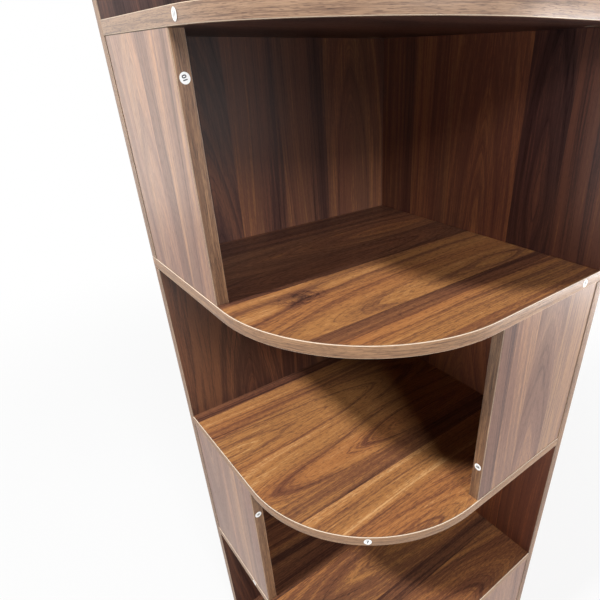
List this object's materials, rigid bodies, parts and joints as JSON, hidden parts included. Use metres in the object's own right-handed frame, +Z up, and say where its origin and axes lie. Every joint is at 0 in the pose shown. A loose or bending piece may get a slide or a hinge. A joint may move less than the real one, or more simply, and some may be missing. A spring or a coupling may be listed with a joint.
{
  "type": "corner bookcase",
  "caption": "Tall corner bookcase of laminated board with rounded front corners and short side wings on alternating sides.",
  "frame": {"origin": "centre of the square footprint, on the floor under the bottom board", "axes": "+Z up; the left wall's outer face looks along -X and the right wall's along +Y, so the back corner is at -X +Y and the rounded front corner at +X -Y"},
  "size_m": [0.43, 0.43, 1.4],
  "materials": {
    "walnut_laminate": "walnut-look melamine on particleboard, satin, with dark straight grain",
    "edge_band": "lighter walnut-look edge band, satin, with a pale trimmed edge",
    "zinc": "die-cast zinc cam with a plated steel bolt"
  },
  "bodies": {
    "root": {"bottom_board": "walnut_laminate", "shelf_1": "walnut_laminate", "shelf_2": "walnut_laminate", "middle_board": "walnut_laminate", "shelf_3": "walnut_laminate", "top_board": "walnut_laminate", "left_wall_lower": "walnut_laminate", "right_wall_lower": "walnut_laminate", "left_wall_upper": "walnut_laminate", "right_wall_upper": "walnut_laminate", "right_wing_1": "walnut_laminate", "left_wing_2": "walnut_laminate", "right_wing_3": "walnut_laminate", "left_wing_4": "walnut_laminate", "right_wing_5": "walnut_laminate", "bottom_board_edge_band": "edge_band", "shelf_1_edge_band": "edge_band", "shelf_2_edge_band": "edge_band", "middle_board_edge_band": "edge_band", "shelf_3_edge_band": "edge_band", "top_board_edge_band": "edge_band", "left_wall_lower_edge_band": "edge_band", "right_wall_lower_edge_band": "edge_band", "left_wall_upper_edge_band": "edge_band", "right_wall_upper_edge_band": "edge_band", "right_wing_1_edge_band": "edge_band", "left_wing_2_edge_band": "edge_band", "right_wing_3_edge_band": "edge_band", "left_wing_4_edge_band": "edge_band", "right_wing_5_edge_band": "edge_band", "cam_fitting_shelf_1_left_front": "zinc", "cam_fitting_shelf_1_left_rear": "zinc", "cam_fitting_shelf_1_right_front": "zinc", "cam_fitting_shelf_1_right_rear": "zinc", "cam_fitting_shelf_2_left_front": "zinc", "cam_fitting_shelf_2_left_rear": "zinc", "cam_fitting_shelf_2_right_front": "zinc", "cam_fitting_shelf_2_right_rear": "zinc", "cam_fitting_shelf_3_left_front": "zinc", "cam_fitting_shelf_3_left_rear": "zinc", "cam_fitting_shelf_3_right_front": "zinc", "cam_fitting_shelf_3_right_rear": "zinc", "cam_fitting_left_wall_lower_bottom": "zinc", "cam_fitting_left_wall_lower_top": "zinc", "cam_fitting_right_wall_lower_bottom": "zinc", "cam_fitting_right_wall_lower_top": "zinc", "cam_fitting_left_wall_upper_bottom": "zinc", "cam_fitting_left_wall_upper_top": "zinc", "cam_fitting_right_wall_upper_bottom": "zinc", "cam_fitting_right_wall_upper_top": "zinc", "cam_fitting_right_wing_1_bottom": "zinc", "cam_fitting_right_wing_1_top": "zinc", "cam_fitting_left_wing_2_bottom": "zinc", "cam_fitting_left_wing_2_top": "zinc", "cam_fitting_right_wing_3_bottom": "zinc", "cam_fitting_right_wing_3_top": "zinc", "cam_fitting_left_wing_4_bottom": "zinc", "cam_fitting_left_wing_4_top": "zinc", "cam_fitting_right_wing_5_bottom": "zinc", "cam_fitting_right_wing_5_top": "zinc"}
  },
  "joints": []
}
